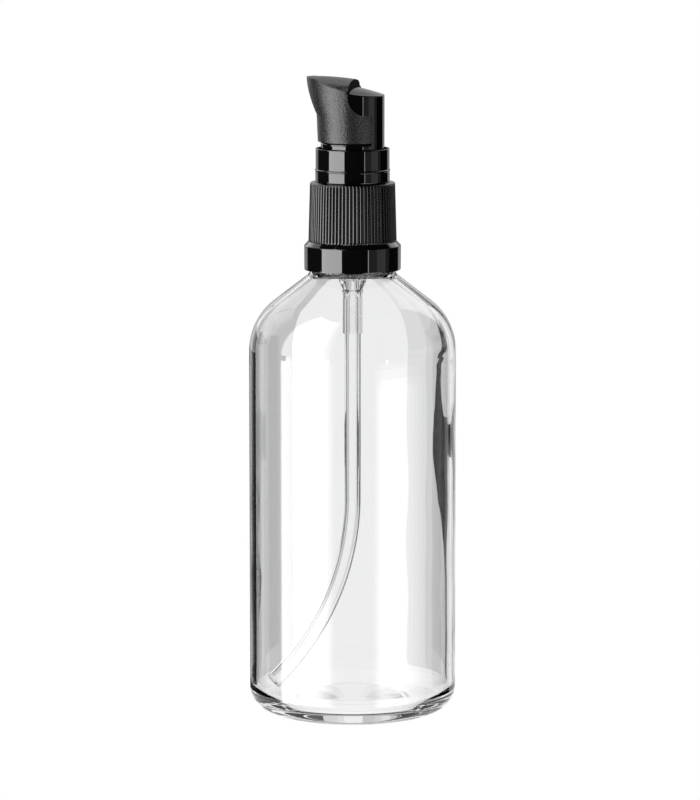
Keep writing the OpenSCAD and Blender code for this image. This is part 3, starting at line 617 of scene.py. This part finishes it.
# %% Shape one column of the core
CREASE, SKIRT_FOOT, CORE_R, SET_BACK, RIM = 136.55, 130.45, 7.2, 6.75, 0.18
CORE_PEAK, CORE_AHEAD, CORE_LONG, CORE_CROSS = 143.87, 11.3, 59, 25
KEY, SOCKET_R, SOCKET_FOOT = math.radians(44), 3.4, 128.1


def core_top(x, y):
    """The crown of the core: a long arc along the beak and a tighter one across it."""
    across = CORE_LONG - CORE_CROSS + math.sqrt(CORE_CROSS ** 2 - y * y)
    return CORE_PEAK - CORE_LONG + math.sqrt(across ** 2 - (x + CORE_AHEAD) ** 2)


def core_column(a):
    """Profile of one column from the foot inside, over the foot, up the wall and in to the top's middle."""
    c, s = math.cos(a), math.sin(a)
    wall = SET_BACK if abs(math.atan2(s, c)) > KEY else CORE_R
    edge = core_top((CORE_R - RIM) * c, (CORE_R - RIM) * s)
    column = [(5.75, 137.0), (5.75, 127.4), (5.8, 127.27), (5.9, 127.25), (7.0, 127.25), (7.14, 127.3),
              (CORE_R, 127.45)]
    column += [(CORE_R, SKIRT_FOOT - 0.02 - 2.9 * (1 - k / 4)) for k in range(1, 5)]
    column += [(wall, SKIRT_FOOT + 0.02), (wall, (SKIRT_FOOT + CREASE) / 2), (wall, CREASE + 0.02)]
    column += [(CORE_R, CREASE + 0.06), (CORE_R, CREASE + 0.12)]
    column += [(CORE_R, CREASE + 0.06 + (edge - RIM - CREASE - 0.06) * k / 4) for k in range(1, 4)]
    column += [(CORE_R, edge - RIM - 0.1), (CORE_R, edge - RIM)]
    for b in (math.radians(18 * k) for k in range(1, 6)):
        column.append((CORE_R - RIM + RIM * math.cos(b), edge - RIM + RIM * math.sin(b)))
    column += [(r, core_top(r * c, r * s)) for r in (6.3, 5.6, 4.6, 3.4, 2.0, 0.8)]
    return [(r * c, r * s, z) for r, z in column]


print("core", 2 * CORE_R, "mm across, top from", round(core_top(7.2, 0), 1), "to", round(core_top(0, 0), 1))

# %% [markdown]
# The columns are joined into a skin that closes in one point at the top's middle. The socket that grips
# the stem hangs inside and never shows, so it is a plain spun ring.

# %% Build the core
CORE_STEPS = 240
core_v, core_f = [], []
for k in range(CORE_STEPS):
    core_v += core_column(math.tau * k / CORE_STEPS)
core_n = len(core_v) // CORE_STEPS
core_v.append((0, 0, core_top(0, 0)))
for k in range(CORE_STEPS):
    here, ahead = k * core_n, (k + 1) % CORE_STEPS * core_n
    core_f += [[here + i, ahead + i, ahead + i + 1, here + i + 1] for i in range(core_n - 1)]
    core_f.append([here + core_n - 1, ahead + core_n - 1, len(core_v) - 1])
core_f.append([k * core_n for k in range(CORE_STEPS - 1, -1, -1)])
core = polish.on(weigh(mesh_piece("head_core", core_v, core_f, "head")))
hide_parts("actuator_core")
socket_profile = soften([(2.2, SOCKET_FOOT, 0.2), (SOCKET_R, SOCKET_FOOT, 0.2), (SOCKET_R, 136.99, 0),
                         (2.2, 136.99, 0)])
polish.on(spin("stem_socket", socket_profile, "head", 64))
print("core:", len(core_v), "points, with the stem's socket", 2 * SOCKET_R, "mm across inside")

# %% [markdown]
# ## The head's shell
# This is the piece a hand knows best: a round skirt that leans forward and swells into a beak. Seen from
# above, the beak is a leaf: two arcs that meet in front, on radii that grow with height. A subdivided box
# would take long to tame, while the leaf can be written down. The sheet is laid out as columns from the
# beak's edge back along both flanks, the pad bridges the flanks with its own crown, and its rear edge
# turns down to the core. Solidify gives it a wall, and a bevel rounds every edge the sheet has.

# %% Lay out the shell's flank
SKIRT_R, SKIRT_SHIFT, SKIRT_LEAN, SWELL, RISE = 7.65, 0.22, math.radians(2.4), 2.8, 8.42
PAD_Z, PAD_X, PAD_LONG, PAD_CROSS = 144.97, 8.2, 60, 26
NOTCH_X, NOTCH_R = 0.33, 4.2
SIDE_TIP, SIDE_GROWS, PAD_LEN = 0.05, 1.09, 8


def lean(z):
    """How far the shell has moved towards the beak at height z."""
    return SKIRT_SHIFT + math.tan(SKIRT_LEAN) * (min(z, CREASE) - SKIRT_FOOT)


def swell(z):
    """How much the radius of the beak's sides has grown at height z."""
    t = max(0.0, min(1.0, (z - CREASE) / RISE))
    return SWELL * (1 - (1 - t) ** 1.7)


def pad_top(x, y):
    """The crown of the finger pad, with a long arc along it and a tighter one across."""
    across = PAD_LONG - PAD_CROSS + math.sqrt(PAD_CROSS ** 2 - y * y)
    return PAD_Z - PAD_LONG + math.sqrt(across ** 2 - (x + PAD_X) ** 2)


def pad_side(x):
    """Height of the pad's rounded side: next to nothing at the tip, most at the rear edge."""
    return SIDE_TIP + SIDE_GROWS * math.sin(math.pi / 2 * max(0.0, min(1.0, (x + PAD_LEN) / PAD_LEN)))


def flank(u, z):
    """Point on the -Y flank at height z; u is 0 at the beak's edge, 1 abreast of the axis, 2 at the back."""
    k = swell(z)
    if u <= 1:
        big = SKIRT_R + k
        a = math.pi + math.asin(k / big)
        a += (1.5 * math.pi - a) * u
        return big * math.cos(a) - lean(z), k + big * math.sin(a)
    a = 1.5 * math.pi + 0.5 * math.pi * (u - 1)
    return SKIRT_R * math.cos(a) - lean(z), SKIRT_R * math.sin(a)


def column_top(u):
    """Height where the flank at u ends: at the pad, or lower along the notch behind it."""
    z = PAD_Z
    for _ in range(5):
        z = pad_top(*flank(u, z))
    x = flank(u, z)[0]
    if x <= NOTCH_X + 1e-6:
        return z - pad_side(x)
    dx = x - NOTCH_X - NOTCH_R
    return CREASE if dx >= 0 else CREASE + NOTCH_R - math.sqrt(NOTCH_R ** 2 - dx * dx)


print("the pad's crown peaks", PAD_X, "mm in front of the axis at", PAD_Z, "mm")

# %% [markdown]
# The flank needs its columns where the form turns: close together at the beak's edge, even along the
# side, and spaced by the notch's own arc behind the pad. They end at the slot that the core's key fills.

# %% Space the columns
def u_at(x):
    """Where along the flank the skirt passes x."""
    return 1 + 2 / math.pi * math.asin((x + lean(CREASE)) / SKIRT_R)


u_notch, u_foot = u_at(NOTCH_X), u_at(NOTCH_X + NOTCH_R)
u_slot = 1 + 2 / math.pi * (0.5 * math.pi - math.asin(math.sin(KEY + 0.012) * 7.3 / SKIRT_R))
front_u = [0, 0.02, 0.05] + [0.1 * k for k in range(1, 11)] + [1 + (u_notch - 1) * k / 3 for k in range(1, 4)]
rear_u = [u_at(NOTCH_X + NOTCH_R * (1 - math.cos(math.radians(90 * k / 12)))) for k in range(1, 13)]
rear_u += [u_foot + (u_slot - u_foot) * k / 4 for k in range(1, 5)]
print("flank:", len(front_u), "columns under the pad,", len(rear_u), "behind it; slot at u", round(u_slot, 3))

# %% [markdown]
# The column on the notch's straight edge belongs to both parts: its upper half ends the flank, and the
# columns behind it start from its lower half. Its neighbour in front has fewer rows there, so each face
# between them takes in several points of the denser side. The rows are denser just above the skirt,
# where the beak starts to swell, so that the change of slope stays crisp.

# %% Raise the flank
SKIRT_ROWS, BEAK_ROWS, UPPER_ROWS = 7, 22, 4
flank_faces = []


def shell_rows(u, top=None):
    """A column of the flank at u, from the skirt's foot to top or to where the flank ends."""
    top = top or column_top(u)
    low = [SKIRT_FOOT + (CREASE - SKIRT_FOOT) * k / SKIRT_ROWS for k in range(SKIRT_ROWS)]
    high = [CREASE + (top - CREASE) * (k / BEAK_ROWS) ** 1.15 for k in range(BEAK_ROWS + 1)]
    return [(*flank(u, z), z) for z in low + high]


def stitch(few, many, few_first):
    """Faces between a column of few points and one of many; few_first if the first lies nearer the tip."""
    for k in range(len(few) - 1):
        m, n = (round(j * (len(many) - 1) / (len(few) - 1)) for j in (k, k + 1))
        span = many[m:n + 1]
        flank_faces.append([few[k], *span, few[k + 1]] if few_first else [few[k], few[k + 1], *span[::-1]])


def sheet(columns):
    """Four-sided faces between neighbouring columns."""
    for a, b in zip(columns, columns[1:]):
        flank_faces.extend([a[k], b[k], b[k + 1], a[k + 1]] for k in range(len(a) - 1))


ledge, rim_top = CREASE + NOTCH_R, column_top(u_notch)
heights = [ledge + (rim_top - ledge) * k / UPPER_ROWS for k in range(UPPER_ROWS + 1)]
front = [shell_rows(u) for u in front_u[:-1]]
upper = [(*flank(u_notch, z), z) for z in heights]
rear = [shell_rows(u_notch, ledge)] + [shell_rows(u) for u in rear_u]
sheet(front)
cut = min(range(len(front[-1])), key=lambda k: abs(front[-1][k][2] - ledge))
stitch(front[-1][:cut + 1], rear[0], True)
stitch(upper, front[-1][cut:], False)
sheet(rear)
print("one flank:", len(flank_faces), "faces in", len(front) + len(rear), "columns")

# %% [markdown]
# Both flanks come from the same list, the second one mirrored and wound the other way round. Points that
# fall on each other are shared, so the two meet in one sharp edge at the beak's tip.

# %% Gather both flanks
shell_v, shell_f, seen = [], [], {}


def shared(p):
    """The number of point p, which is added only where there is none yet."""
    key = tuple(round(c, 4) for c in p)
    if key not in seen:
        seen[key] = len(shell_v)
        shell_v.append(p)
    return seen[key]


def face(*points):
    ids = [shared(p) for p in points]
    ids = [v for k, v in enumerate(ids) if v not in ids[:k]]
    if len(ids) > 2:
        shell_f.append(ids)


for points in flank_faces:
    face(*points)
for points in flank_faces:
    face(*((x, -y, z) for x, y, z in points[::-1]))
print("both flanks:", len(shell_v), "points")

# %% [markdown]
# The pad is laid straight across between matching points of the two rims. Its sides are rounded more
# and more tightly towards the rear, and a fine groove runs under them, which fades out at the tip. The
# wall turns down from the pad's rear edge to just above the core.

# %% Lay the pad and its rear wall
CROSS, GROOVE, WALL_ROWS = 28, 0.07, 4


def pad_line(x, y, z):
    """One line across the pad, from the rim at (x, y, z) to its mirror point."""
    line, tall, half = [], pad_side(x), abs(y)
    deep = GROOVE * max(0.0, min(1.0, 3 * tall - 1.2))
    rise = min(1.0, (pad_top(x, 0) - z) / 0.14)
    power = 4.5 + 10 * max(0.0, min(1.0, (x + 3) / 3.3)) ** 2
    for j in range(1, CROSS):
        share = math.cos(math.pi * j / CROSS)
        top = pad_top(x, half * share) - tall * abs(share) ** power
        line.append((x, -half * share, max(top, z + 0.12 * rise)))
    near = [(x, -half, z), (x, deep - half, z + 0.02 * rise), (x, deep - half, z + 0.09 * rise),
            (x, -half, z + 0.11 * rise)]
    return near + line + [(px, -py, pz) for px, py, pz in near[::-1]]


def lay(lines):
    """Faces between neighbouring lines that run across the pad."""
    for near, far in zip(lines, lines[1:]):
        for j in range(len(near) - 1):
            face(near[j], far[j], far[j + 1], near[j + 1])


pad = [pad_line(*column[-1]) for column in front + [upper]]
lay(pad)
wall_from = len(shell_f)
feet = [min(z, max(core_top(x, y) + 0.02, ledge)) for x, y, z in pad[-1]]
lay([[(x, y, z + (foot - z) * k / WALL_ROWS) for (x, y, z), foot in zip(pad[-1], feet)]
     for k in range(WALL_ROWS + 1)])
print("pad:", len(pad), "lines across, rear wall from face", wall_from)

# %% [markdown]
# Solidify gives the sheet its thickness on the inside, and a narrow bevel rounds every edge that is
# sharper than a thumb would like.

# %% Give the shell its thickness
SHEET, EDGE_ROUND = 0.38, 0.12
shell = mesh_piece("finger_shell", shell_v, shell_f, "head")
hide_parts("actuator_shell")
solid = shell.modifiers.new("wall", "SOLIDIFY")
solid.thickness, solid.offset, solid.use_even_offset = SHEET * MM, -1, False
edge = shell.modifiers.new("edge", "BEVEL")
edge.width, edge.segments, edge.harden_normals = EDGE_ROUND * MM, 3, True
edge.limit_method, edge.angle_limit = "ANGLE", math.radians(38)
grain.on(shell)
# The rear wall's faces take the black that paints the shade behind the pad.
shell.data.materials.append(rear_wall_shade.material)
for poly in shell.data.polygons:
    poly.material_index = int(poly.index >= wall_from)
print("shell:", len(shell_v), "points,", len(shell_f), "faces")

# %% [markdown]
# ## The studio
# Clear glass and polished black both show nothing but their surroundings, so the lighting is mostly a
# matter of what stands round the object. Angles are counted round it from the camera, to the right.
# Nothing here is a lamp: every panel glows by itself, and each says which rays can find it. That lets the
# polished rings and the clear wall have their own surroundings.

# %% Places, glows and stands
LOOK, AWAY = math.radians(10.5), 0.9


def toward(angle, distance, height):
    """A point round the object: degrees to the right of the camera, then distance and height in metres."""
    a = LOOK + math.radians(angle)
    return Vector((distance * math.sin(a), -distance * math.cos(a), height))


def glow(name, strength):
    """A material that shines by itself; a strength of 1 is white."""
    material = bpy.data.materials.new(name)
    material.use_nodes = True
    tree = material.node_tree
    tree.nodes.remove(tree.nodes["Principled BSDF"])
    lamp = tree.nodes.new("ShaderNodeEmission")
    lamp.inputs["Strength"].default_value = strength
    lamp.inputs["Color"].default_value = (1, 1, 1, 1)
    tree.links.new(lamp.outputs[0], tree.nodes["Material Output"].inputs[0])
    return material


def stand(name, verts, faces, materials, **seen):
    """A mesh of the studio in metres, one material to a face; seen says which rays find it."""
    data = bpy.data.meshes.new(name)
    data.from_pydata(verts, [], faces)
    for material in materials:
        data.materials.append(material)
    for k in range(1, len(materials)):
        data.polygons[k].material_index = k
    obj = bpy.data.objects.new(name, data)
    bpy.context.collection.objects.link(obj)
    for rays, found in seen.items():
        setattr(obj, "visible_" + rays, found)
    return obj


print("angle 0 is the camera's side:", [round(c, 2) for c in toward(0, AWAY, 0)])

# %% [markdown]
# A panel is bent round the object and made of upright strips, each with its own strength. A real softbox
# fades towards its rim, so the outer strips can ramp up and down.

# %% Curved panels
def panel(name, steps, heights, behind=False, distance=AWAY):
    """A curved panel of strips. steps lists (angle, strength), and a strip runs on to the next angle.
    Reflections find it or, with behind, only light that has passed through the glass."""
    verts = [toward(a, distance, z) for a, _ in steps for z in heights]
    faces = [(2 * k, 2 * k + 2, 2 * k + 3, 2 * k + 1) for k in range(len(steps) - 1)]
    glows = [glow(f"{name}_{k}", strength) for k, (_, strength) in enumerate(steps[:-1])]
    return stand(name, verts, faces, glows, camera=False, glossy=not behind, diffuse=not behind,
                 transmission=behind, shadow=False, volume_scatter=False)


def soft(start, end, strength, left=0.0, right=0.0):
    """Strips from start to end; over the outer degrees on either side they ramp up from black and back."""
    ramp = [(k + 0.5) / 6 for k in range(6)]
    steps = [(start + left * k / 6, strength * share) for k, share in enumerate(ramp) if left]
    middle = start + left
    while middle < end - right - 1e-6:
        steps.append((middle, strength))
        middle = min(middle + 12, end - right)
    steps += [(end - right + right * k / 6, strength * share) for k, share in enumerate(ramp[::-1]) if right]
    return steps + [(end, 0)]


print("panels stand", AWAY, "m from the axis")

# %% [markdown]
# A broad white floor meets the white air behind, so there is no horizon. Mirrors and glass can't find it,
# so that below the horizon they are left to the panels. They find a small patch under the bottle
# instead, hidden from the camera, which brightens the thick glass of the base.

# %% Floor
FLOOR_OUT, PATCH_R, SUNK = 3.0, 0.034, 0.0001
floor_verts = [toward(a, FLOOR_OUT, -2 * SUNK) for a in (45, 135, 225, 315)]
stand("floor", floor_verts, [(0, 1, 2, 3)], [glow("pale_floor", 1.0)],
      glossy=False, shadow=False, transmission=False)
patch_verts = [toward(15 * k, PATCH_R, -SUNK) for k in range(24)]
stand("table_patch", patch_verts, [tuple(range(24))], [glow("table_glow", 0.93)], camera=False, shadow=False)
print("floor", FLOOR_OUT, "m out, and a patch of", PATCH_R, "m under the base")

# %% [markdown]
# These panels are found by reflections only. A broad softbox on the left draws the wide grey stripe on the
# polished rings, a thin gap of light near the front draws the hairline, and a dim panel on the right
# fills the other side. The upright walls of the pump look at one stretch of heights, the glass wall
# under them looks lower, and all that slopes, like the shoulder and the finger pad, looks higher. So
# each stretch has its own set, and narrow panels behind light the edges.

# %% Panels for the reflections
HEAD, LOW, HIGH = (-0.0165, 0.074), (-0.6, -0.0165), (0.074, 2.2)
panel("left_head", soft(-78, -25.5, 9.0), HEAD)
panel("left_low", soft(-87, -20, 10.0, left=3, right=20), LOW)
panel("left_high", soft(-87, -22, 6.5, left=4, right=18), HIGH)
panel("hairline", [(37, 6.0), (38.9, 0)], HEAD)
panel("dim_right", [(40, 0.3), (60, 0.7), (85, 0.2), (97, 0)], HEAD)
right_rows = ((-0.6, -0.046, 5.0), (-0.046, -0.038, 3.5), (-0.038, -0.028, 2.2), (-0.028, -0.0165, 1.1))
for k, (low, high, strength) in enumerate(right_rows):
    panel(f"right_low_{k}", soft(23, 88, strength, left=10, right=34), (low, high))
panel("edges_left", soft(-157, -136, 0.8), (-0.0165, 0.15))
panel("rims_left", soft(-157, -136, 2.4), (0.15, 0.35))
panel("side_left", soft(-139, -106, 1.3, right=10), (0.25, 1.0))
panel("side_right", soft(60, 135, 0.6), (0.1, 0.22))
panel("edges_right", soft(139, 157, 0.8), (-0.0165, 0.35))
panel("edges_left_low", soft(-165, -136, 0.05), LOW)
panel("edges_right_low", soft(139, 187, 0.75), LOW)
panel("strip_behind", soft(159, 201, 0.35), (-0.0165, 0.2))
panel("dusk_behind", soft(159, 201, 0.6), (0.2, 0.9))
panel("white_behind", soft(159, 201, 1.8), (0.9, 2.2))
panel("white_left", soft(-159, -139, 2.2), (0.35, 2.2))
panel("white_right", soft(128, 159, 1.8, left=6), (0.35, 2.2))
print("panels for the reflections stand at", HEAD, LOW, "and", HIGH, "m")

# %% [markdown]
# Clear glass in front of white air would vanish, so the last ones stand behind it, where only light that
# has passed through the glass finds them. Grey panels give the clear wall its tone, and dark ones far out
# to the sides draw its edges. The wavering dark lines that run down the glass come from two black cards
# whose outlines waver. They belong to the studio: turn the bottle, and the lines stay where they are.

# %% Panels and cards behind the glass
def card(name, strength, rows):
    """A black card behind the glass. rows lists (height, first angle, last angle) from the bottom up."""
    verts = [toward(a, AWAY, z) for z, *angles in rows for a in angles]
    faces = [(2 * k, 2 * k + 1, 2 * k + 3, 2 * k + 2) for k in range(len(rows) - 1)]
    return stand(name, verts, faces, [glow(f"{name}_glow", strength)],
                 camera=False, glossy=False, diffuse=False, shadow=False)


BACK, SIDES = (-0.22, 0.8), (-0.19, 0.5)
card("card_left", 0.005, [(-0.22, -158, -142), (-0.165, -156, -142), (-0.15, -164, -142),
                          (-0.138, -166, -142), (-0.122, -160, -142), (-0.104, -163, -142),
                          (-0.088, -158, -142), (-0.05, -154, -142), (0.0, -155, -142),
                          (0.8, -155, -142)])
panel("shade_left", [(-164, 0.5), (-160, 0.14), (-154, 0)], BACK, behind=True)
panel("grey_left", [(-176, 0.51), (-171, 0.6), (-168, 0.72), (-164, 0)], BACK, behind=True)
panel("grey_right", [(150, 0.82), (168, 0.62), (174, 0.72), (176.5, 0)], BACK, behind=True, distance=0.92)
card("card_right", 0.01, [(-0.19, 158.5, 163), (-0.165, 157.5, 163.5), (-0.14, 158.5, 162.8),
                          (-0.122, 158.5, 165), (-0.106, 158.5, 170), (-0.094, 156, 171.5),
                          (-0.084, 150, 172.5), (-0.076, 148, 172.8), (-0.069, 153, 172.4),
                          (-0.064, 166.5, 171.8), (-0.055, 168.7, 171.2), (-0.048, 166, 170),
                          (-0.04, 162.5, 168.5), (-0.02, 160, 168), (0.5, 158, 168)])
panel("dusk_edge", soft(137, 150, 0.02), (-0.09, -0.07), behind=True)
panel("dusk_right", soft(104, 137, 0.02), SIDES, behind=True)
panel("dusk_left", soft(-141, -118, 0.3), SIDES, behind=True)
print("two cards and six panels behind the glass")

# %% [markdown]
# The world is the last panel. The camera sees it as pure white. Light that has passed through glass finds
# it slightly grey, which gives the glass its body, and mirrors find it almost black, so that the polished
# rings stay deep between their stripes.

# %% World
THROUGH, MIRRORED, DIFFUSE = 0.9, 0.006, 0.06
world = bpy.data.worlds.new("studio_air")
bpy.context.scene.world = world
world.use_nodes = True
air = world.node_tree
for made in list(air.nodes):
    air.nodes.remove(made)
kind = air.nodes.new("ShaderNodeLightPath")
camera_ray, glossy_ray, through_ray = (Wire(air, kind.outputs[n]) for n in
                                       ("Is Camera Ray", "Is Glossy Ray", "Is Transmission Ray"))
shade = through_ray * THROUGH + glossy_ray * (1 - through_ray) * MIRRORED
shade = camera_ray + (1 - camera_ray) * (shade + (1 - through_ray) * (1 - glossy_ray) * DIFFUSE)
backdrop = shade.node("ShaderNodeBackground", Color=shade.mix((0, 0, 0), (1, 1, 1)), Strength=1.0)
out = air.nodes.new("ShaderNodeOutputWorld")
air.links.new(backdrop.socket, out.inputs[0])
print("world: white to the camera, pale through glass, near black in mirrors")

# %% [markdown]
# ## The camera
# A long lens from about a metre away, looking down a little, keeps the sides of the bottle nearly
# parallel.

# %% Camera
EYE_AWAY, EYE_Z, AIM_Z = 1.011, 0.2213, 0.0714
lens = bpy.data.cameras.new("camera")
camera = bpy.data.objects.new("camera", lens)
scene = bpy.context.scene
bpy.context.collection.objects.link(camera)
camera.location = toward(0, EYE_AWAY, EYE_Z)
aim = Vector((0, 0, AIM_Z)) - camera.location
camera.rotation_euler = aim.to_track_quat("-Z", "Y").to_euler()
lens.sensor_width, lens.lens, lens.shift_x = 36.0, 202.2, -0.0032
lens.clip_start, lens.clip_end = 0.01, 20.0
scene.camera = camera
scene.view_settings.view_transform = "Standard"
scene.cycles.caustics_refractive = scene.cycles.caustics_reflective = True
scene.cycles.max_bounces = scene.cycles.transmission_bounces = 16
scene.cycles.glossy_bounces = 8
print("camera", [round(c, 3) for c in camera.location], "lens", lens.lens)

# %% [markdown]
# ## The size
# The dressed bottle must not be bigger than the solid model.
# The dressed bottle must not be bigger than the solid model, so both boxes are written down.
